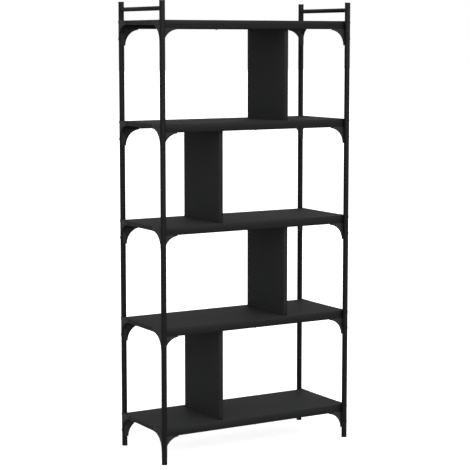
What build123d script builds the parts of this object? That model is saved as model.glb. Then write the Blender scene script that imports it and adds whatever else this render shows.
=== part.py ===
from build123d import *
import os

# Open bookcase: four round steel posts, five boards on steel rails, four upright dividers.
# Millimetres. +Z is up, +X runs along the boards, the front faces -Y.
# The origin is on the floor, at the middle of the bookcase.

# Whole object
overall_width = 750.0        # over the outer sides of the posts
overall_depth = 316.0        # over the front and back posts
overall_height = 1547.0      # floor to the top of the caps

# Posts and their caps
post_diameter = 19.0
tube_wall = 1.2
cap_thickness = 3.0
cap_overhang = 0.4           # how far a cap stands out past its tube
cap_plug_length = 12.0
cap_plug_slack = 0.2         # on the radius, inside the tube
cap_rounding = 0.8

# Boards and dividers
level_count = 5
lowest_board_top = 119.0
level_pitch = 341.1
board_thickness = 15.0
divider_thickness = 15.0
divider_depth = 246.0
divider_offset = 130.0       # from the middle of the bookcase, left or right in turn

# Rails under the front and back edge of every board
rail_width = 13.0
rail_height = 13.5

# Gussets under the rails, in the plane of the rail's outer face
gusset_thickness = 2.0
gusset_radius = 53.0
gusset_tip_height = 3.0
gusset_tip_cut = 3.0         # the tip is cut off this far before the quarter circle ends
gusset_outer_reach = 5.0     # past the post's centre line, towards the outside
gusset_rounding = 3.0

# Side plates at the ends of the boards
plate_thickness = 1.5
plate_radius = 55.0
weld_radius = 2.2
weld_length = 7.0
weld_rounding = 0.6          # of the weld's radius
weld_drops = (5.0, 62.0)     # from a board's top down to each weld's middle

# Gallery rails, one at each end above the top board
gallery_diameter = 14.5
gallery_drop = 26.5          # from the post's top down to the gallery rail's axis

# Bolts that hold a gusset to a post, and the threaded inserts in the posts
bolt_drop = 39.5             # from a board's top down to the bolt's axis
bolt_radius = 3.0
bolt_length = 12.0
bolt_head_radius = 4.75
bolt_head_height = 3.0
bolt_head_rounding = 1.8
bolt_socket_radius = 2.0
bolt_socket_depth = 1.8
insert_radius = 4.5
insert_length = 10.0
insert_hole_length = 8.0     # enough to pass through one wall of the tube

# Screws from under a rail into its board
rail_screw_places = (-340.0, 0.0, 340.0)
rail_screw_radius = 2.0
rail_screw_bite = 10.0       # how far it goes into the board
rail_screw_head_radius = 3.75
rail_screw_head_height = 1.8

# Screws up into a divider's lower edge, and dowels in its upper edge
divider_screw_radius = 2.5
divider_screw_bite = 35.0
divider_screw_head_radius = 4.5
divider_screw_head_height = 3.0
divider_screw_spacing = 160.0
dowel_radius = 4.0
dowel_length = 30.0
dowel_in_board = 10.0
dowel_spacing = 190.0

# Values that follow from the ones above
post_radius = post_diameter / 2
post_x = overall_width / 2 - post_radius
post_y = overall_depth / 2 - post_radius
board_length = overall_width
board_depth = 2 * (post_y - post_radius)
tube_bore_radius = post_radius - tube_wall
rail_y = board_depth / 2 - rail_width / 2
divider_height = level_pitch - board_thickness
sides = {"left": -1, "right": 1}
faces = {"front": -1, "back": 1}
board_tops = [lowest_board_top + level * level_pitch for level in range(level_count)]


def export(shape, name):
    export_step(shape, f"parts/{name}.step")


def along_y(radius, length, x, y, z):
    """A cylinder on an axis along Y, with its middle at x, y, z."""
    return Pos(x, y, z) * Rot(90, 0, 0) * Cylinder(radius, length)


def upright(radius, length, x, y, bottom):
    """A cylinder standing on the height given as bottom."""
    return Pos(x, y, bottom + length / 2) * Cylinder(radius, length)


def tube_end_cutter(side, face):
    """The outer cylinder of a post, for shaping the pieces that meet it."""
    return upright(post_radius, overall_height, side * post_x, face * post_y, 0)


# Posts: tubes with a clear hole for each threaded insert, on the side that faces the gussets.
def make_post(side, face):
    length = overall_height - 2 * cap_thickness
    x, y = side * post_x, face * post_y
    tube = upright(post_radius, length, x, y, cap_thickness)
    tube -= upright(tube_bore_radius, length, x, y, cap_thickness)
    inner_wall_y = face * (board_depth / 2 + tube_wall)
    for top in board_tops:
        tube -= along_y(insert_radius, insert_hole_length, x, inner_wall_y, top - bolt_drop)
    return tube


# A cap has a round flange on the tube's end and a plug inside the tube.
def make_cap(side, face, at_top):
    flange = Cylinder(post_radius + cap_overhang, cap_thickness)
    flange = fillet(flange.edges().sort_by(Axis.Z)[-1], cap_rounding)
    plug = Pos(0, 0, -(cap_thickness + cap_plug_length) / 2)
    cap = flange + plug * Cylinder(tube_bore_radius - cap_plug_slack, cap_plug_length)
    if at_top:
        return Pos(side * post_x, face * post_y, overall_height - cap_thickness / 2) * cap
    return Pos(side * post_x, face * post_y, cap_thickness / 2) * Rot(180, 0, 0) * cap


# A gallery rail runs between the front and the back post, and its ends fit round them.
def make_gallery_rail(side):
    x, z = side * post_x, overall_height - gallery_drop
    rail = along_y(gallery_diameter / 2, 2 * post_y, x, 0, z)
    rail -= along_y(gallery_diameter / 2 - tube_wall, 2 * post_y, x, 0, z)
    for face in faces.values():
        rail -= tube_end_cutter(side, face)
    return rail


# The gusset's outline in the XZ plane, for the right-hand end, measured from the post's axis
# and from the underside of the rail: a quarter circle joins the rail to the post.
def gusset_outline():
    inner = -post_radius
    middle_x = inner - gusset_radius
    foot = -(gusset_tip_height + gusset_radius)
    tip_x = middle_x + gusset_tip_cut
    tip_drop = gusset_radius - (gusset_radius**2 - gusset_tip_cut**2) ** 0.5
    tip = (tip_x, -gusset_tip_height - tip_drop)
    half_turn = gusset_radius * 0.5**0.5
    waist = (middle_x + half_turn, foot + half_turn)
    line = Line((tip_x, 0), tip)
    line += ThreePointArc(tip, waist, (inner, foot))
    line += Polyline((inner, foot), (gusset_outer_reach, foot), (gusset_outer_reach, 0), (tip_x, 0))
    return make_face(line)


def make_gusset(side, face, underside):
    plate = extrude(Plane.XZ * gusset_outline(), gusset_thickness / 2, both=True)
    outer_foot = plate.edges().filter_by(Axis.Y).sort_by(Axis.Z)[:2].sort_by(Axis.X)[-1]
    plate = fillet(outer_foot, gusset_rounding)
    if side < 0:
        plate = mirror(plate, Plane.YZ)
    return Pos(side * post_x, face * (board_depth - gusset_thickness) / 2, underside) * plate


# A rail is a square tube with a gusset welded under each end, and holes for bolts and screws.
def make_rail(face, top):
    middle_z = top - board_thickness - rail_height / 2
    y = face * rail_y
    rail = Pos(0, y, middle_z) * Box(board_length, rail_width, rail_height)
    hollow = Box(board_length, rail_width - 2 * tube_wall, rail_height - 2 * tube_wall)
    rail -= Pos(0, y, middle_z) * hollow
    for side in sides.values():
        rail += make_gusset(side, face, middle_z - rail_height / 2)
        bolt_y = face * board_depth / 2
        rail -= along_y(bolt_radius, 3 * gusset_thickness, side * post_x, bolt_y, top - bolt_drop)
    for x in rail_screw_places:
        rail -= Pos(x, y, middle_z) * Cylinder(rail_screw_radius, 2 * rail_height)
    return rail


# A side plate covers the end of the board and of the rail, and its edge is welded to the post.
def make_side_plate(side, face, top):
    plate_height = board_thickness + plate_radius
    sweep = plate_radius * (1 - 0.5**0.5)
    line = Polyline((plate_radius, -board_thickness), (plate_radius, 0), (0, 0), (0, -plate_height))
    line += ThreePointArc((0, -plate_height), (sweep, -board_thickness - sweep), (plate_radius, -board_thickness))
    plate = extrude(Plane.YZ * make_face(line), plate_thickness / 2, both=True)
    for drop in weld_drops:
        bead = Cylinder(weld_radius, weld_length)
        bead = fillet(bead.edges(), weld_radius * weld_rounding)
        plate += Pos(-plate_thickness / 2, 0, -drop) * bead
    if face > 0:
        plate = mirror(plate, Plane.XZ)
    if side < 0:
        plate = mirror(plate, Plane.YZ)
    plate_x = side * (board_length + plate_thickness) / 2
    return Pos(plate_x, face * post_y, top) * plate - tube_end_cutter(side, face)


def divider_side(tier):
    """Dividers stand left and right in turn, starting on the left at the bottom."""
    return -1 if tier % 2 == 0 else 1


def divider_holes(level):
    """The holes that the dividers above and below need in one board."""
    top = board_tops[level]
    holes = []
    if level < level_count - 1:
        x = divider_side(level) * divider_offset
        for y in (-divider_screw_spacing / 2, divider_screw_spacing / 2):
            holes.append(upright(divider_screw_radius, board_thickness, x, y, top - board_thickness))
            head_height = divider_screw_head_height
            holes.append(upright(divider_screw_head_radius, head_height, x, y, top - board_thickness))
    if level > 0:
        x = divider_side(level - 1) * divider_offset
        for y in (-dowel_spacing / 2, dowel_spacing / 2):
            holes.append(upright(dowel_radius, dowel_in_board, x, y, top - board_thickness))
    return holes


def make_board(level):
    top = board_tops[level]
    board = Pos(0, 0, top - board_thickness / 2) * Box(board_length, board_depth, board_thickness)
    for face in faces.values():
        for x in rail_screw_places:
            board -= upright(rail_screw_radius, rail_screw_bite, x, face * rail_y, top - board_thickness)
    for hole in divider_holes(level):
        board -= hole
    return board


def make_divider(tier):
    floor = board_tops[tier]
    x = divider_side(tier) * divider_offset
    panel = Pos(x, 0, floor + divider_height / 2) * Box(divider_thickness, divider_depth, divider_height)
    dowel_bite = dowel_length - dowel_in_board
    for y in (-divider_screw_spacing / 2, divider_screw_spacing / 2):
        panel -= upright(divider_screw_radius, divider_screw_bite, x, y, floor)
    for y in (-dowel_spacing / 2, dowel_spacing / 2):
        panel -= upright(dowel_radius, dowel_bite, x, y, floor + divider_height - dowel_bite)
    return panel


# Fasteners. Each kind is one node that holds all its separate solids.
def make_bolt(side, face, top):
    shank = Pos(0, 0, -bolt_length / 2) * Cylinder(bolt_radius, bolt_length)
    head = Pos(0, 0, bolt_head_height / 2) * Cylinder(bolt_head_radius, bolt_head_height)
    head = fillet(head.edges().sort_by(Axis.Z)[-1], bolt_head_rounding)
    socket_z = bolt_head_height - bolt_socket_depth
    socket = extrude(Pos(0, 0, socket_z) * RegularPolygon(bolt_socket_radius, 6), bolt_socket_depth)
    bolt = shank + head - socket
    bearing_y = face * (board_depth / 2 - gusset_thickness)
    return Pos(side * post_x, bearing_y, top - bolt_drop) * Rot(face * 90, 0, 0) * bolt


def make_insert(side, face, top):
    middle_y = face * (board_depth / 2 + insert_length / 2)
    insert = along_y(insert_radius, insert_length, side * post_x, middle_y, top - bolt_drop)
    return insert - along_y(bolt_radius, insert_length, side * post_x, middle_y, top - bolt_drop)


def make_rail_screw(x, face, top):
    underside = top - board_thickness - rail_height
    shank_length = rail_height + rail_screw_bite
    head_height = rail_screw_head_height
    head = Pos(x, face * rail_y, underside - head_height / 2) * Cylinder(rail_screw_head_radius, head_height)
    head = fillet(head.edges().sort_by(Axis.Z)[0], head_height / 2)
    return head + upright(rail_screw_radius, shank_length, x, face * rail_y, underside)


def make_divider_screw(tier, y):
    x = divider_side(tier) * divider_offset
    bottom = board_tops[tier] - board_thickness
    head = upright(divider_screw_head_radius, divider_screw_head_height, x, y, bottom)
    return head + upright(divider_screw_radius, board_thickness + divider_screw_bite, x, y, bottom)


def make_dowel(tier, y):
    x = divider_side(tier) * divider_offset
    meeting_height = board_tops[tier] + divider_height
    bottom = meeting_height + dowel_in_board - dowel_length
    return upright(dowel_radius, dowel_length, x, y, bottom)


os.makedirs("parts", exist_ok=True)

for side_name, side in sides.items():
    for face_name, face in faces.items():
        corner = f"{face_name}_{side_name}"
        export(make_post(side, face), f"post_{corner}")
        export(make_cap(side, face, at_top=True), f"top_cap_{corner}")
        export(make_cap(side, face, at_top=False), f"foot_cap_{corner}")
        for level, top in enumerate(board_tops, start=1):
            export(make_side_plate(side, face, top), f"side_plate_{corner}_{level}")
    export(make_gallery_rail(side), f"gallery_rail_{side_name}")

for level, top in enumerate(board_tops, start=1):
    export(make_board(level - 1), f"shelf_board_{level}")
    for face_name, face in faces.items():
        export(make_rail(face, top), f"{face_name}_rail_{level}")

for tier in range(level_count - 1):
    export(make_divider(tier), f"divider_{tier + 1}")

corners = [(side, face, top) for side in sides.values() for face in faces.values() for top in board_tops]
rail_places = [(x, face, top) for x in rail_screw_places for face in faces.values() for top in board_tops]
tiers = range(level_count - 1)
screw_half = divider_screw_spacing / 2
dowel_half = dowel_spacing / 2

export(Compound([make_bolt(*place) for place in corners]), "frame_bolts")
export(Compound([make_insert(*place) for place in corners]), "threaded_inserts")
export(Compound([make_rail_screw(*place) for place in rail_places]), "rail_screws")
divider_screws = [make_divider_screw(tier, y) for tier in tiers for y in (-screw_half, screw_half)]
export(Compound(divider_screws), "divider_screws")
dowels = [make_dowel(tier, y) for tier in tiers for y in (-dowel_half, dowel_half)]
export(Compound(dowels), "divider_dowels")
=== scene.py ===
import math

import bmesh
import bpy
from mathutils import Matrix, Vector


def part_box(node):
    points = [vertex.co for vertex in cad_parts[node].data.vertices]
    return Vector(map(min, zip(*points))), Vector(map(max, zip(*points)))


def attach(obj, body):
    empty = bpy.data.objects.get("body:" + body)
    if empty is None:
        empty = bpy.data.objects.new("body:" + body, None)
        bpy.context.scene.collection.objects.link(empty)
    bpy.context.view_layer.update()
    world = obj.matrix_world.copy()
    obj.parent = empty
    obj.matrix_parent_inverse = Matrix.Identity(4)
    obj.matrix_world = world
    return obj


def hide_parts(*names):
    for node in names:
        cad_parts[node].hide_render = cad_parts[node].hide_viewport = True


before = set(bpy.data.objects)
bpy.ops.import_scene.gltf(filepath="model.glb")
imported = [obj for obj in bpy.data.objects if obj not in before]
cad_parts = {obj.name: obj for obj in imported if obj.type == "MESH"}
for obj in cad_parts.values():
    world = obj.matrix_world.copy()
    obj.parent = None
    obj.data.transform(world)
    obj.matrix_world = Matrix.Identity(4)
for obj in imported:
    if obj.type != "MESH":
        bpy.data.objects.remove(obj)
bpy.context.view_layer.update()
sides = {"left": -1, "right": 1}
faces = {"front": -1, "back": 1}
corners = [(face, side) for face in faces for side in sides]
levels = range(1, 6)
tiers = range(1, 5)
down = Vector((0, 0, -1))


# One socket of a node tree. Arithmetic on it adds Math nodes, and add() adds any other node.
class Wire:
    def __init__(self, tree, socket=None):
        self.tree = tree
        self.socket = socket

    def add(self, kind, settings=None, values=None, out=0):
        node = self.tree.nodes.new(kind)
        for name, value in (settings or {}).items():
            if name == "stops":
                for element, (place, tone) in zip(node.color_ramp.elements, value):
                    element.position = place
                    element.color = (tone, tone, tone, 1)
            else:
                setattr(node, name, value)
        for key, value in (values or {}).items():
            for part in value if isinstance(value, list) else [value]:
                if isinstance(part, Wire):
                    self.tree.links.new(part.socket, node.inputs[key])
                else:
                    node.inputs[key].default_value = part
        return Wire(self.tree, node.outputs[out] if node.outputs else None)

    def maths(self, operation, *parts):
        return self.add("ShaderNodeMath", {"operation": operation}, dict(enumerate(parts)))

    def __add__(self, other):
        return self.maths("ADD", self, other)

    def __sub__(self, other):
        return self.maths("SUBTRACT", self, other)

    def __rsub__(self, other):
        return self.maths("SUBTRACT", other, self)

    def __mul__(self, other):
        return self.maths("MULTIPLY", self, other)

    def __truediv__(self, other):
        return self.maths("DIVIDE", self, other)

    __radd__ = __add__
    __rmul__ = __mul__


def newMaterial(name):
    material = bpy.data.materials.new(name)
    material.use_nodes = True
    material.node_tree.nodes.clear()
    return material, Wire(material.node_tree)


def noise(start, place, scale, detail, distortion=0.0):
    values = {"Vector": place, "Scale": scale, "Detail": detail, "Distortion": distortion}
    return start.add("ShaderNodeTexNoise", None, values)


def mixColours(start, factor, dark, light):
    values = {0: factor, 6: (*dark, 1), 7: (*light, 1)}
    return start.add("ShaderNodeMix", {"data_type": "RGBA"}, values, out=2)


def bumpFrom(start, height, depth, strength):
    return start.add("ShaderNodeBump", None, {"Strength": strength, "Distance": depth, "Height": height})


def finishMaterial(start, values):
    shader = start.add("ShaderNodeBsdfPrincipled", None, values)
    start.add("ShaderNodeOutputMaterial", None, {"Surface": shader})


# Powder coat on steel: a slight orange peel, fine grit, and a slow drift in tone. The copy for sheet is
# painted paler: painted light for the brighter light that the side plates and gussets catch.
coatLook = {
    "dark": (0.0068, 0.0068, 0.0070), "light": (0.0114, 0.0114, 0.0118),
    "roughness": 0.44, "roughnessDrift": 0.12, "specular": 0.16,
    "driftScale": 9.0, "peelScale": 460.0, "gritScale": 2400.0, "gritShare": 0.3,
    "depth": 0.00010, "bump": 0.35,
    "driftInTone": 0.6, "gritInTone": 0.4,
}


def powderCoat(name, look):
    material, start = newMaterial(name)
    place = start.add("ShaderNodeTexCoord", out=3)
    drift = noise(start, place, look["driftScale"], 3)
    peel = noise(start, place, look["peelScale"], 2)
    grit = noise(start, place, look["gritScale"], 1)
    height = peel + grit * look["gritShare"]
    tone = drift * look["driftInTone"] + grit * look["gritInTone"]
    finishMaterial(start, {
        "Base Color": mixColours(start, tone, look["dark"], look["light"]),
        "Roughness": (drift - 0.5) * look["roughnessDrift"] + look["roughness"],
        "Specular IOR Level": look["specular"],
        "Normal": bumpFrom(start, height, look["depth"], look["bump"]),
    })
    return material


# Matt film on board: long faint grain along one axis, with fine pores in it. The edge band is a darker one.
filmLook = {
    "dark": (0.0185, 0.0191, 0.0201), "light": (0.0285, 0.0295, 0.0311),
    "roughness": 0.64, "roughnessDrift": 0.14, "specular": 0.12,
    "alongScale": 5.0, "acrossScale": 190.0, "poreScale": 3.0, "poreEdges": (0.34, 0.46), "cloudScale": 3.0,
    "depth": 0.00012, "bump": 0.35,
    "grainShare": 0.7, "otherShare": 0.3, "poreRoughness": 0.04,
}


def boardFilm(name, look, along):
    material, start = newMaterial(name)
    place = start.add("ShaderNodeTexCoord", out=3)
    stretch = [look["alongScale"] if axis == along else look["acrossScale"] for axis in "XYZ"]
    laid = start.add("ShaderNodeMapping", None, {"Vector": place, "Scale": tuple(stretch)})
    grain = noise(start, laid, 1.0, 4, 0.6)
    pores = noise(start, laid, look["poreScale"], 2)
    cloud = noise(start, place, look["cloudScale"], 2)
    stops = tuple(zip(look["poreEdges"], (0, 1)))
    filled = start.add("ShaderNodeValToRGB", {"stops": stops}, {"Fac": pores})
    height = grain * look["grainShare"] + filled * look["otherShare"]
    tone = grain * look["grainShare"] + cloud * look["otherShare"]
    roughness = (grain - 0.5) * look["roughnessDrift"] + (1 - filled) * look["poreRoughness"]
    finishMaterial(start, {
        "Base Color": mixColours(start, tone, look["dark"], look["light"]),
        "Roughness": roughness + look["roughness"],
        "Specular IOR Level": look["specular"],
        "Normal": bumpFrom(start, height, look["depth"], look["bump"]),
    })
    return material


# Moulded plastic, plated or blackened steel, and wood for dowels: one fine even grain.
plainStyle = {"detail": 3, "roughnessDrift": 0.15, "bump": 0.4}


def plainFinish(name, look):
    material, start = newMaterial(name)
    place = start.add("ShaderNodeTexCoord", out=3)
    grain = noise(start, place, look["scale"], plainStyle["detail"])
    finishMaterial(start, {
        "Base Color": mixColours(start, grain, look["dark"], look["light"]),
        "Roughness": (grain - 0.5) * plainStyle["roughnessDrift"] + look["roughness"],
        "Specular IOR Level": look["specular"],
        "Metallic": look["metallic"],
        "Normal": bumpFrom(start, grain, look["depth"], plainStyle["bump"]),
    })
    return material


plasticLook = {
    "dark": (0.004, 0.004, 0.004), "light": (0.008, 0.008, 0.008), "scale": 1400.0, "depth": 0.00006,
    "roughness": 0.48, "specular": 0.35, "metallic": 0.0,
}
oxideLook = {
    "dark": (0.008, 0.008, 0.009), "light": (0.018, 0.017, 0.017), "scale": 900.0, "depth": 0.00004,
    "roughness": 0.36, "specular": 0.5, "metallic": 0.6,
}
zincLook = {
    "dark": (0.42, 0.43, 0.45), "light": (0.60, 0.61, 0.63), "scale": 700.0, "depth": 0.00004,
    "roughness": 0.34, "specular": 0.5, "metallic": 1.0,
}
beechLook = {
    "dark": (0.36, 0.23, 0.12), "light": (0.55, 0.38, 0.22), "scale": 260.0, "depth": 0.0001,
    "roughness": 0.62, "specular": 0.4, "metallic": 0.0,
}
bandLook = dict(
    filmLook, dark=(0.0115, 0.0118, 0.0121), light=(0.0165, 0.0169, 0.0174), specular=0.20, roughness=0.50
)
# The sheet copy of the coat: the same coat painted paler, as painted light on the side plates and gussets.
litSheetLook = dict(coatLook, dark=(0.0255, 0.0257, 0.0261), light=(0.0360, 0.0362, 0.0368))
coat = powderCoat("black_powder_coat", coatLook)
litSheetCoat = powderCoat("black_powder_coat_on_sheet_painted_lighter", litSheetLook)
film = {axis: boardFilm(f"black_film_grain_along_{axis}", filmLook, axis) for axis in "XZ"}
band = {axis: boardFilm(f"black_edge_band_along_{axis}", bandLook, axis) for axis in "XYZ"}
plastic = plainFinish("black_cap_plastic", plasticLook)
oxide = plainFinish("black_oxide_steel", oxideLook)
zinc = plainFinish("zinc_plate", zincLook)
beech = plainFinish("beech_dowel", beechLook)
print("materials made:", len(bpy.data.materials))


# Pieces: every one ends as a plain mesh at the origin, smooth but for its real edges.
def addObject(name, mesh):
    piece = bpy.data.objects.new(name, mesh)
    bpy.context.scene.collection.objects.link(piece)
    return piece


def pieceFromShape(name, shape, materials):
    bmesh.ops.recalc_face_normals(shape, faces=shape.faces)
    mesh = bpy.data.meshes.new(name)
    shape.to_mesh(mesh)
    shape.free()
    for material in materials:
        mesh.materials.append(material)
    return addObject(name, mesh)


def bake(piece):
    # the piece as its modifiers make it, in a plain mesh
    bpy.context.view_layer.update()
    graph = bpy.context.evaluated_depsgraph_get()
    mesh = bpy.data.meshes.new_from_object(piece.evaluated_get(graph), depsgraph=graph)
    before = piece.data
    piece.modifiers.clear()
    piece.data = mesh
    bpy.data.meshes.remove(before)
    mesh.name = piece.name
    return piece


def settle(piece, nodes=(), smoothBelow=35):
    piece.data.shade_smooth()
    piece.data.set_sharp_from_angle(angle=math.radians(smoothBelow))
    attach(piece, "root")
    if nodes:
        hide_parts(*nodes)
    return piece


easedAbove = 40        # degrees between two faces, from which their edge is eased


def ease(piece, width, segments):
    bevel = piece.modifiers.new("eased_edges", "BEVEL")
    bevel.width = width
    bevel.segments = segments
    bevel.limit_method = "ANGLE"
    bevel.angle_limit = math.radians(easedAbove)
    return bake(piece)


def joinPieces(name, parts):
    # several finished meshes as one piece, each with its own material
    whole = bmesh.new()
    materials = []
    for part in parts:
        first = len(whole.faces)
        whole.from_mesh(part.data)
        whole.faces.ensure_lookup_table()
        for face in whole.faces[first:]:
            face.material_index = len(materials)
        materials.append(part.data.materials[0])
        bpy.data.objects.remove(part)
    mesh = bpy.data.meshes.new(name)
    whole.to_mesh(mesh)
    whole.free()
    for material in materials:
        mesh.materials.append(material)
    return addObject(name, mesh)


def addWall(shape, first, second):
    # four-sided faces between two loops of corners
    for index in range(len(first)):
        following = (index + 1) % len(first)
        shape.faces.new((first[index], first[following], second[following], second[index]))


def addLoop(shape, outline, offset):
    return [shape.verts.new(point + offset) for point in outline]


def addPrism(shape, outline, depth):
    # a flat outline pushed along a vector
    near = addLoop(shape, outline, Vector())
    far = addLoop(shape, outline, depth)
    shape.faces.new(near)
    shape.faces.new(far)
    addWall(shape, near, far)


def arc(centre, radius, startAngle, endAngle, steps):
    span = endAngle - startAngle
    angles = [math.radians(startAngle + span * step / steps) for step in range(steps + 1)]
    x, y = centre
    return [(x + radius * math.cos(angle), y + radius * math.sin(angle)) for angle in angles]


def middleOf(node):
    low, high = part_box(node)
    return (low + high) / 2


# Geometry trees: named inputs, and a plain painted mesh at the end.
def openTree(name, inputs):
    tree = bpy.data.node_groups.new(name, "GeometryNodeTree")
    tree.interface.new_socket("Geometry", in_out="INPUT", socket_type="NodeSocketGeometry")
    for label, kind in inputs.items():
        tree.interface.new_socket(label, in_out="INPUT", socket_type="NodeSocket" + kind)
    tree.interface.new_socket("Geometry", in_out="OUTPUT", socket_type="NodeSocketGeometry")
    entry = tree.nodes.new("NodeGroupInput")
    given = {socket.name: Wire(tree, socket) for socket in entry.outputs if socket.name}
    return tree, Wire(tree), given


def closeTree(start, geometry, material):
    plain = start.add("GeometryNodeRealizeInstances", None, {"Geometry": geometry})
    painted = start.add("GeometryNodeSetMaterial", None, {"Geometry": plain, "Material": material})
    start.add("NodeGroupOutput", None, {0: painted})


def joinXyz(start, x, y, z):
    return start.add("ShaderNodeCombineXYZ", None, {0: x, 1: y, 2: z})


def splitXyz(start, vector):
    return [start.add("ShaderNodeSeparateXYZ", None, {0: vector}, out=axis) for axis in range(3)]


def onPoints(start, points, item):
    # the item on every point, with its +Z turned to the point's aim
    aim = start.add("GeometryNodeInputNamedAttribute", {"data_type": "FLOAT_VECTOR"}, {"Name": "aim"})
    turn = start.add("FunctionNodeAlignRotationToVector", {"axis": "Z"}, {"Vector": aim})
    values = {"Points": points, "Instance": item, "Rotation": turn}
    return start.add("GeometryNodeInstanceOnPoints", None, values)


def grow(name, tree, values, places, aims):
    # runs a tree on points, each with the direction that it faces
    mesh = bpy.data.meshes.new(name)
    mesh.from_pydata([tuple(place) for place in places], [], [])
    attribute = mesh.attributes.new("aim", "FLOAT_VECTOR", "POINT")
    attribute.data.foreach_set("vector", [part for aim in aims for part in aim])
    piece = addObject(name, mesh)
    modifier = piece.modifiers.new("grow", "NODES")
    modifier.node_group = tree
    for item in tree.interface.items_tree:
        if item.in_out == "INPUT" and item.name in values:
            modifier[item.identifier] = values[item.name]
    bake(piece)
    if "aim" in piece.data.attributes:
        piece.data.attributes.remove(piece.data.attributes["aim"])
    return piece


# Boards and dividers: film on both faces, an edge band all round, and countersinks for the screws.
panelStyle = {"edgeRound": 0.0007, "roundSteps": 3, "bandThickness": 0.0009}
sinkStyle = {"spread": 0.080, "radius": 0.0047, "neck": 0.0026, "depth": 0.0032, "sides": 40}


def makePanel(name, node, flat, long, holes=()):
    flatAxis, longAxis = "XYZ".index(flat), "XYZ".index(long)
    low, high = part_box(node)
    shape = bmesh.new()
    bmesh.ops.create_cube(shape, size=1)
    for vertex in shape.verts:
        vertex.co = Vector(part * span for part, span in zip(vertex.co, high - low)) + (low + high) / 2
    shape.normal_update()
    broad = [face for face in shape.faces if abs(face.normal[flatAxis]) > 0.9]
    for face in shape.faces:
        face.material_index = 2 if abs(face.normal[longAxis]) > 0.9 else 1
    bmesh.ops.inset_individual(shape, faces=broad, thickness=panelStyle["bandThickness"], depth=0)
    for face in broad:
        face.material_index = 0
    panel = pieceFromShape(name, shape, [film[long], band[long], band["Y"]])
    ease(panel, panelStyle["edgeRound"], panelStyle["roundSteps"])
    if holes:
        sinkHoles(panel, holes)
    return settle(panel, [node])


def sinkHoles(panel, places):
    # conical holes that open downwards, cut by cones that reach as far below the board as into it
    neck = sinkStyle["neck"]
    shape = bmesh.new()
    for place in places:
        made = bmesh.ops.create_cone(
            shape, cap_ends=True, segments=sinkStyle["sides"], radius1=2 * sinkStyle["radius"] - neck,
            radius2=neck, depth=2 * sinkStyle["depth"],
        )
        bmesh.ops.translate(shape, verts=made["verts"], vec=place)
    cutter = pieceFromShape("countersink", shape, [])
    cut = panel.modifiers.new("countersinks", "BOOLEAN")
    cut.operation = "DIFFERENCE"
    cut.solver = "EXACT"
    cut.object = cutter
    bake(panel)
    bpy.data.objects.remove(cutter)


sinkPlaces = {}
for tier in tiers:
    x = middleOf(f"divider_{tier}").x
    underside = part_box(f"shelf_board_{tier}")[0].z
    sinkPlaces[tier] = [Vector((x, y, underside)) for y in (-sinkStyle["spread"], sinkStyle["spread"])]
    makePanel(f"partition_{tier}", f"divider_{tier}", "X", "Z")
for level in levels:
    makePanel(f"shelf_{level}", f"shelf_board_{level}", "Z", "X", sinkPlaces.get(level, ()))
print("boards and dividers made")


# Posts and gallery rods: a wall section, with its corners eased, swept round a circle.
tubeStyle = {
    "wall": 0.0012, "sides": 64, "ease": 0.0003, "easeSteps": 3,
    "sink": 0.0006,    # how far a rod's end goes into its post
}


def makeTubeTree():
    inputs = {"Radius": "Float", "Wall": "Float", "Length": "Float", "Ease": "Float", "Sides": "Int"}
    tree, start, given = openTree("steel_tube", inputs)
    section = start.add("GeometryNodeCurvePrimitiveQuadrilateral", None, {
        "Width": given["Wall"], "Height": given["Length"],
    })
    eased = start.add("GeometryNodeFilletCurve", {"mode": "POLY"}, {
        "Curve": section, "Count": tubeStyle["easeSteps"], "Radius": given["Ease"],
    })
    ring = start.add("GeometryNodeCurvePrimitiveCircle", None, {
        "Resolution": given["Sides"], "Radius": given["Radius"] - given["Wall"] * 0.5,
    })
    level = start.add("GeometryNodeSetCurveNormal", {"mode": "Z_UP"}, {"Curve": ring})
    tube = start.add("GeometryNodeCurveToMesh", None, {"Curve": level, "Profile Curve": eased})
    closeTree(start, onPoints(start, given["Geometry"], tube), coat)
    return tree


tubeTree = makeTubeTree()


def makeTube(name, node, aim, radius, length):
    values = {
        "Radius": radius, "Wall": tubeStyle["wall"], "Length": length,
        "Ease": tubeStyle["ease"], "Sides": tubeStyle["sides"],
    }
    return settle(grow(name, tubeTree, values, [middleOf(node)], [aim]), [node])


posts = {}
for face, side in corners:
    node = f"post_{face}_{side}"
    low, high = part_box(node)
    posts[face, side] = middleOf(node)
    postRadius = (high.x - low.x) / 2
    makeTube(f"upright_{face}_{side}", node, (0, 0, 1), postRadius, high.z - low.z)
rodRadius = {}
for side in sides:
    node = f"gallery_rail_{side}"
    low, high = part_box(node)
    rodRadius[side] = (high.z - low.z) / 2
    rodLength = high.y - low.y + 2 * tubeStyle["sink"]
    makeTube(f"gallery_rod_{side}", node, (0, 1, 0), rodRadius[side], rodLength)
print("posts and gallery rods made")


# Caps: a turned profile, with a dished flange and a ribbed plug that goes into the tube.
capStyle = {
    "flange": 0.003, "round": 0.0009, "roundSteps": 5, "dish": 0.0004, "dishReach": 0.7,
    "plugLength": 0.012, "plugSlack": 0.0002,
    "ribs": 4, "ribDepth": 0.0006, "ribFoot": 0.3, "ribCrest": 0.5,
    "steps": 56, "mergeWithin": 0.00002,
}


def capProfile(radius):
    rim = radius - capStyle["round"]
    flange = -capStyle["flange"]
    plug = postRadius - tubeStyle["wall"] - capStyle["plugSlack"]
    groove = plug - capStyle["ribDepth"]
    pitch = capStyle["plugLength"] / capStyle["ribs"]
    dish, dishReach = capStyle["dish"], capStyle["dishReach"]
    points = [(0, -dish), (rim * dishReach, -dish * dishReach)]
    points += arc((rim, -capStyle["round"]), capStyle["round"], 90, 0, capStyle["roundSteps"])
    points += [(radius, flange), (groove, flange)]
    for rib in range(capStyle["ribs"]):
        top = flange - rib * pitch
        points.append((groove, top - pitch * capStyle["ribFoot"]))
        points.append((plug, top - pitch * capStyle["ribCrest"]))
        points.append((groove, top - pitch))
    return points + [(0, flange - capStyle["plugLength"])]


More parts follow.
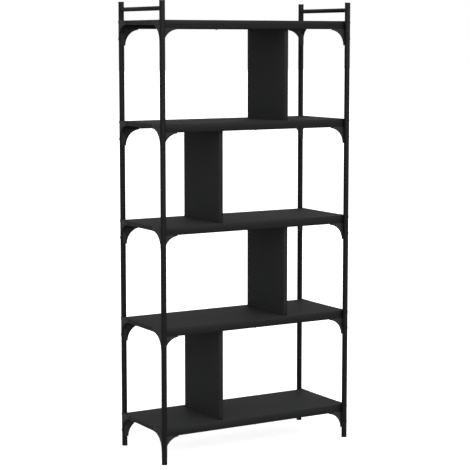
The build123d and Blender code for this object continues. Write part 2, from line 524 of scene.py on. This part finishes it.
def makeCap(name, node, upward):
    low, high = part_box(node)
    middle = (low + high) / 2
    outerEnd = high.z if upward > 0 else low.z
    shape = bmesh.new()
    profile = capProfile((high.x - low.x) / 2)
    points = [shape.verts.new((middle.x + x, middle.y, outerEnd + upward * z)) for x, z in profile]
    lines = [shape.edges.new(pair) for pair in zip(points, points[1:])]
    axisPoint = (middle.x, middle.y, 0)
    bmesh.ops.spin(
        shape, geom=points + lines, cent=axisPoint, axis=(0, 0, 1), angle=math.tau, steps=capStyle["steps"],
    )
    bmesh.ops.remove_doubles(shape, verts=shape.verts, dist=capStyle["mergeWithin"])
    return settle(pieceFromShape(name, shape, [plastic]), [node])


for face, side in corners:
    makeCap(f"cap_{face}_{side}", f"top_cap_{face}_{side}", 1)
    makeCap(f"foot_{face}_{side}", f"foot_cap_{face}_{side}", -1)
print("caps made")


# Rails: a square tube with a quarter-circle gusset under each end, flush with its outer face.
railStyle = {"height": 0.0135, "wall": 0.0012, "corner": 0.0013, "cornerSteps": 4}
gussetStyle = {
    "thickness": 0.002, "radius": 0.053, "tipHeight": 0.003, "tipCut": 0.003, "outerReach": 0.005,
    "footRound": 0.003, "footSteps": 5, "arcSteps": 30, "ease": 0.00035, "easeSteps": 2,
    "lap": 0.0012,    # how far it runs up the rail
}


def squareRing(width, height, corner, middle):
    # a rounded rectangle across X
    points = []
    for turn, (ySide, zSide) in enumerate([(1, 1), (-1, 1), (-1, -1), (1, -1)]):
        centre = (middle.y + ySide * (width / 2 - corner), middle.z + zSide * (height / 2 - corner))
        points += arc(centre, corner, 90 * turn, 90 * turn + 90, railStyle["cornerSteps"])
    return [Vector((middle.x, y, z)) for y, z in points]


def gussetOutline(sideSign, post, underside, outerY):
    inner = -postRadius
    radius = gussetStyle["radius"]
    reach = gussetStyle["outerReach"]
    foot = -(gussetStyle["tipHeight"] + radius)
    tipAngle = 90 - math.degrees(math.asin(gussetStyle["tipCut"] / radius))
    curve = arc((inner - radius, foot), radius, tipAngle, 0, gussetStyle["arcSteps"])
    rounding = gussetStyle["footRound"]
    heel = arc((reach - rounding, foot + rounding), rounding, -90, 0, gussetStyle["footSteps"])
    outline = [(curve[0][0], gussetStyle["lap"]), *curve, *heel, (reach, gussetStyle["lap"])]
    return [Vector((post.x + sideSign * x, outerY, underside + z)) for x, z in outline]


def makeRail(face, level):
    node = f"{face}_rail_{level}"
    low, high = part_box(node)
    outward = faces[face]
    outerY = high.y if outward > 0 else low.y
    width, height, wall = high.y - low.y, railStyle["height"], railStyle["wall"]
    middle = Vector(((low.x + high.x) / 2, (low.y + high.y) / 2, high.z - height / 2))
    half = Vector(((high.x - low.x) / 2, 0, 0))
    outer = squareRing(width, height, railStyle["corner"], middle)
    inner = squareRing(width - 2 * wall, height - 2 * wall, railStyle["corner"] / 4, middle)
    shape = bmesh.new()
    loops = [addLoop(shape, ring, offset) for ring in (outer, inner) for offset in (-half, half)]
    for first, second in ((0, 1), (1, 3), (3, 2), (2, 0)):
        addWall(shape, loops[first], loops[second])
    tube = pieceFromShape(node + "_tube", shape, [coat])
    plates = bmesh.new()
    for side, sideSign in sides.items():
        outline = gussetOutline(sideSign, posts[face, side], high.z - height, outerY)
        addPrism(plates, outline, Vector((0, -outward * gussetStyle["thickness"], 0)))
    # the gussets get the coat copy that is painted paler, as painted light
    gussets = pieceFromShape(node + "_gussets", plates, [litSheetCoat])
    ease(gussets, gussetStyle["ease"], gussetStyle["easeSteps"])
    return settle(joinPieces(f"rail_{face}_{level}", [tube, gussets]), [node])


for level in levels:
    for face in faces:
        makeRail(face, level)
print("rails made")


# Side plates: a concave quarter circle that covers the ends of the board and of its rail.
plateStyle = {
    "thickness": 0.0015, "radius": 0.055, "cornerRound": 0.0025, "ease": 0.0003, "easeSteps": 2,
    "arcSteps": 30, "cornerSteps": 5,
}


def makeSidePlate(face, side, level):
    node = f"side_plate_{face}_{side}_{level}"
    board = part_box(f"shelf_board_{level}")
    post = posts[face, side]
    outerX = post.x + sides[side] * (postRadius + plateStyle["thickness"])
    radius, rounding = plateStyle["radius"], plateStyle["cornerRound"]
    edge = board[0].z - board[1].z
    curve = arc((radius, edge - radius), radius, 180, 90, plateStyle["arcSteps"])
    tip = arc((radius - rounding, -rounding), rounding, 0, 90, plateStyle["cornerSteps"])
    outline = [(0, 0), *curve, *tip]
    placed = [Vector((outerX, post.y - faces[face] * y, board[1].z + z)) for y, z in outline]
    shape = bmesh.new()
    addPrism(shape, placed, Vector((-sides[side] * plateStyle["thickness"], 0, 0)))
    # the side plates get the coat copy that is painted paler, as painted light
    plate = pieceFromShape(f"end_plate_{face}_{side}_{level}", shape, [litSheetCoat])
    return settle(ease(plate, plateStyle["ease"], plateStyle["easeSteps"]), [node])


for face, side in corners:
    for level in levels:
        makeSidePlate(face, side, level)
print("side plates made")


# Welds: runs of overlapping flattened drops, on the plates' edges and round the ends of the rods.
plateWeld = {
    "below": (0.005, 0.062), "length": 0.0056, "radius": 0.0021, "count": 8, "seed": 11,
    "inset": 0.3,    # how far past the post's axis a run lies, as a share of its radius
}
rodWeld = {"around": 28, "length": 0.0010, "radius": 0.0013, "count": 2, "seed": 5}
dropStyle = {"segments": 12, "rings": 8, "least": 0.84, "most": 1.06, "flatness": 0.9}


def makeWeldTree():
    inputs = {"Length": "Float", "Radius": "Float", "Count": "Int", "Seed": "Int"}
    tree, start, given = openTree("weld_run", inputs)
    gap = given["Length"] / (given["Count"] - 1)
    line = start.add("GeometryNodeMeshLine", None, {
        "Count": given["Count"], "Start Location": joinXyz(start, 0, 0, given["Length"] * -0.5),
        "Offset": joinXyz(start, 0, 0, gap),
    })
    drop = start.add("GeometryNodeMeshUVSphere", None, {
        "Segments": dropStyle["segments"], "Rings": dropStyle["rings"], "Radius": given["Radius"],
    })
    spread = {2: dropStyle["least"], 3: dropStyle["most"], "Seed": given["Seed"]}
    uneven = start.add("FunctionNodeRandomValue", {"data_type": "FLOAT"}, spread, out=1)
    size = joinXyz(start, uneven, uneven, uneven * dropStyle["flatness"])
    run = start.add("GeometryNodeInstanceOnPoints", None, {"Points": line, "Instance": drop, "Scale": size})
    solid = start.add("GeometryNodeRealizeInstances", None, {"Geometry": run})
    closeTree(start, onPoints(start, given["Geometry"], solid), coat)
    return tree


weldTree = makeWeldTree()


def makeWelds(name, style, places, aims):
    values = {label.title(): style[label] for label in ("length", "radius", "count", "seed")}
    return settle(grow(name, weldTree, values, places, aims), smoothBelow=60)


runs = []
for face, side in corners:
    post = posts[face, side]
    for level in levels:
        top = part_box(f"shelf_board_{level}")[1].z
        x = post.x + sides[side] * postRadius
        y = post.y + faces[face] * plateWeld["radius"] * plateWeld["inset"]
        runs += [Vector((x, y, top - below)) for below in plateWeld["below"]]
makeWelds("plate_welds", plateWeld, runs, [(0, 0, 1)] * len(runs))

ringPlaces, ringAims = [], []
for face, side in corners:
    middle = middleOf(f"gallery_rail_{side}")
    for index in range(rodWeld["around"]):
        turn = math.tau * index / rodWeld["around"]
        x, z = rodRadius[side] * math.cos(turn), rodRadius[side] * math.sin(turn)
        y = posts[face, side].y - faces[face] * math.sqrt(postRadius**2 - x**2)
        ringPlaces.append(Vector((middle.x + x, y, middle.z + z)))
        ringAims.append((-math.sin(turn), 0, math.cos(turn)))
makeWelds("rod_welds", rodWeld, ringPlaces, ringAims)
print("welds made:", len(runs), "runs and", len(ringPlaces), "ring drops")


# Bolts and screws: a threaded shank and a head, domed or sunk, with a hexagon or a cross in it.
boltStyle = {
    "headRadius": 0.00475, "neck": 0.00475, "height": 0.003, "sink": 0.0, "dome": 0.30,
    "driveWidth": 0.0046, "driveDepth": 0.0018,
    "shankRadius": 0.003, "shankLength": 0.012, "pitch": 0.0010,
}
railScrewStyle = {
    "headRadius": 0.00375, "neck": 0.00375, "height": 0.0018, "sink": 0.0, "dome": 0.34,
    "driveWidth": 0.0042, "driveDepth": 0.0011,
    "shankRadius": 0.002, "shankLength": 0.0235, "pitch": 0.0016,
}
dividerScrewStyle = {
    "headRadius": 0.0045, "neck": 0.0025, "height": 0.003, "sink": 0.003, "dome": 0.0,
    "driveWidth": 0.0050, "driveDepth": 0.0014,
    "shankRadius": 0.0025, "shankLength": 0.050, "pitch": 0.0022,
}
threadStyle = {"sides": 16, "ringsPerTurn": 4, "depth": 0.18}
headStyle = {"sides": 32, "rings": 6}
driveStyle = {"bladeShare": 0.2, "shallower": 0.9}    # the second blade of a cross is cut less deep
boltDrop = 0.0395          # from a board's top down to the bolt's axis
railScrewPlace = 0.340     # from the middle to the screws near a rail's ends


def makeShank(start, given):
    rings = given["Shank length"] / given["Pitch"] * threadStyle["ringsPerTurn"]
    drum = start.add("GeometryNodeMeshCylinder", None, {
        "Vertices": threadStyle["sides"], "Side Segments": rings, "Fill Segments": 1,
        "Radius": given["Shank radius"], "Depth": given["Shank length"],
    })
    x, y, z = splitXyz(start, start.add("GeometryNodeInputPosition"))
    turns = z / given["Pitch"] + start.maths("ARCTAN2", y, x) / math.tau
    crest = start.maths("ABSOLUTE", start.maths("FRACT", turns) * 2 - 1)
    width = 1 - (1 - crest) * threadStyle["depth"]
    cutThread = joinXyz(start, x * width, y * width, z)
    threaded = start.add("GeometryNodeSetPosition", None, {"Geometry": drum, "Position": cutThread})
    inward = joinXyz(start, 0, 0, given["Shank length"] * -0.5 - given["Sink"] * 0.5)
    return start.add("GeometryNodeTransform", None, {"Geometry": threaded, "Translation": inward})


def makeCutter(start, given, drive):
    depth = given["Drive depth"] * 2
    if drive == "hexagon":
        return start.add("GeometryNodeMeshCylinder", None, {
            "Vertices": 6, "Radius": given["Drive width"] * 0.5, "Depth": depth,
        })
    wide = given["Drive width"]
    narrow = wide * driveStyle["bladeShare"]
    shallower = depth * driveStyle["shallower"]
    arms = [joinXyz(start, wide, narrow, depth), joinXyz(start, narrow, wide, shallower)]
    blades = [start.add("GeometryNodeMeshCube", None, {"Size": arm}) for arm in arms]
    return start.add("GeometryNodeMeshBoolean", {"operation": "UNION"}, {"Mesh 2": blades})


def makeScrewTree(name, drive, material):
    labels = (
        "Head radius", "Neck radius", "Height", "Sink", "Dome", "Drive width", "Drive depth",
        "Shank radius", "Shank length", "Pitch",
    )
    tree, start, given = openTree(name, dict.fromkeys(labels, "Float"))
    drum = start.add("GeometryNodeMeshCone", None, {
        "Vertices": headStyle["sides"], "Side Segments": headStyle["rings"], "Fill Segments": 1,
        "Radius Top": given["Head radius"], "Radius Bottom": given["Neck radius"], "Depth": given["Height"],
    })
    x, y, z = splitXyz(start, start.add("GeometryNodeInputPosition"))
    rise = z / given["Height"]
    bulge = 1 - rise * rise * rise * given["Dome"]
    lifted = joinXyz(start, x * bulge, y * bulge, z - given["Sink"])
    head = start.add("GeometryNodeSetPosition", None, {"Geometry": drum, "Position": lifted})
    crown = joinXyz(start, 0, 0, given["Height"] - given["Sink"])
    cutter = start.add("GeometryNodeTransform", None, {
        "Geometry": makeCutter(start, given, drive), "Translation": crown,
    })
    driven = start.add("GeometryNodeMeshBoolean", {"operation": "DIFFERENCE"}, {
        "Mesh 1": head, "Mesh 2": cutter,
    })
    whole = start.add("GeometryNodeJoinGeometry", None, {"Geometry": [driven, makeShank(start, given)]})
    closeTree(start, onPoints(start, given["Geometry"], whole), material)
    return tree


def makeScrews(name, drive, style, material, node, places, aims):
    tree = makeScrewTree(f"{name}_tree", drive, material)
    values = {
        "Head radius": style["headRadius"], "Neck radius": style["neck"], "Height": style["height"],
        "Sink": style["sink"], "Dome": style["dome"], "Drive width": style["driveWidth"],
        "Drive depth": style["driveDepth"], "Shank radius": style["shankRadius"],
        "Shank length": style["shankLength"], "Pitch": style["pitch"],
    }
    return settle(grow(name, tree, values, places, aims), [node], smoothBelow=30)


boltPlaces, boltAims, railScrewPlaces = [], [], []
for face in faces:
    for level in levels:
        low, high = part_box(f"{face}_rail_{level}")
        outerY = high.y if faces[face] > 0 else low.y
        seat = outerY - faces[face] * gussetStyle["thickness"]
        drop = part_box(f"shelf_board_{level}")[1].z - boltDrop
        for side in sides:
            boltPlaces.append(Vector((posts[face, side].x, seat, drop)))
            boltAims.append((0, -faces[face], 0))
        for x in (-railScrewPlace, 0, railScrewPlace):
            railScrewPlaces.append(Vector((x, (low.y + high.y) / 2, high.z - railStyle["height"])))
railAims = [down] * len(railScrewPlaces)
dividerPlaces = [place for places in sinkPlaces.values() for place in places]
dividerAims = [down] * len(dividerPlaces)
makeScrews(
    "gusset_bolts", "hexagon", boltStyle, oxide, "frame_bolts",
    boltPlaces, boltAims,
)
makeScrews(
    "rail_screw_set", "cross", railScrewStyle, oxide, "rail_screws",
    railScrewPlaces, railAims,
)
makeScrews(
    "divider_screw_set", "cross", dividerScrewStyle, zinc, "divider_screws",
    dividerPlaces, dividerAims,
)
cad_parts["threaded_inserts"].material_slots[0].material = zinc
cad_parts["divider_dowels"].material_slots[0].material = beech
print("fasteners made:", len(boltPlaces) + len(railScrewPlaces) + len(dividerPlaces))


# Stage, light and camera.
stageStyle = {
    "size": 120.0, "cells": 4, "tone": 0.85, "glow": 0.80, "below": 0.0003,
    "worldLight": 0.34,    # how brightly the world lights the object
    "worldSeen": 1.0,      # how bright it looks behind it
}
# Each lamp: the side that its light comes from, how wide it is in degrees, and its strength.
lamps = {
    "key": ((0.35, -1.0, 1.1), 80, 1.30),
    "fill": ((-0.6, -1.0, 1.1), 80, 1.30),
    "front": ((0.0, -1.0, 0.15), 80, 0.40),
    "back": ((0.0, 1.0, 0.8), 80, 0.16),
    "rim": ((-1.0, 0.30, 0.1), 70, 0.22),
}
cameraStyle = {
    "place": (-2.766, -4.662, 1.4175), "yaw": 30.66, "pitch": 6.79, "lens": 119.36, "shift": -0.02,
}


def makeFloor():
    material, start = newMaterial("pale_floor")
    tone = (stageStyle["tone"],) * 3
    finishMaterial(start, {
        "Base Color": (*tone, 1), "Roughness": 0.9, "Specular IOR Level": 0.1,
        "Emission Color": (1, 1, 1, 1), "Emission Strength": stageStyle["glow"],
    })
    shape = bmesh.new()
    cells = stageStyle["cells"]
    bmesh.ops.create_grid(shape, x_segments=cells, y_segments=cells, size=stageStyle["size"] / 2)
    bmesh.ops.translate(shape, verts=shape.verts, vec=down * stageStyle["below"])
    floor = pieceFromShape("studio_floor", shape, [material])
    floor.visible_diffuse = False
    floor.visible_glossy = False


def makeWorld():
    world = bpy.data.worlds.new("studio")
    bpy.context.scene.world = world
    world.use_nodes = True
    world.node_tree.nodes.clear()
    start = Wire(world.node_tree)
    seen = start.add("ShaderNodeLightPath")
    lit = stageStyle["worldLight"]
    strength = seen * (stageStyle["worldSeen"] - lit) + lit
    background = start.add("ShaderNodeBackground", None, {"Color": (1, 1, 1, 1), "Strength": strength})
    start.add("ShaderNodeOutputWorld", None, {"Surface": background})


def makeLamp(name, side, width, strength):
    data = bpy.data.lights.new(name, "SUN")
    data.angle = math.radians(width)
    data.energy = strength
    lamp = addObject(name, data)
    lamp.rotation_euler = Vector(side).to_track_quat("Z", "Y").to_euler()


def makeCamera():
    data = bpy.data.cameras.new("camera")
    data.lens = cameraStyle["lens"]
    data.shift_y = cameraStyle["shift"]
    data.clip_end = 200
    camera = addObject("camera", data)
    camera.location = cameraStyle["place"]
    camera.rotation_euler = (math.radians(90 - cameraStyle["pitch"]), 0, math.radians(-cameraStyle["yaw"]))
    bpy.context.scene.camera = camera


makeFloor()
makeWorld()
for name, (side, width, strength) in lamps.items():
    makeLamp(name, side, width, strength)
makeCamera()
bpy.context.scene.view_settings.view_transform = "Standard"
print("stage made")
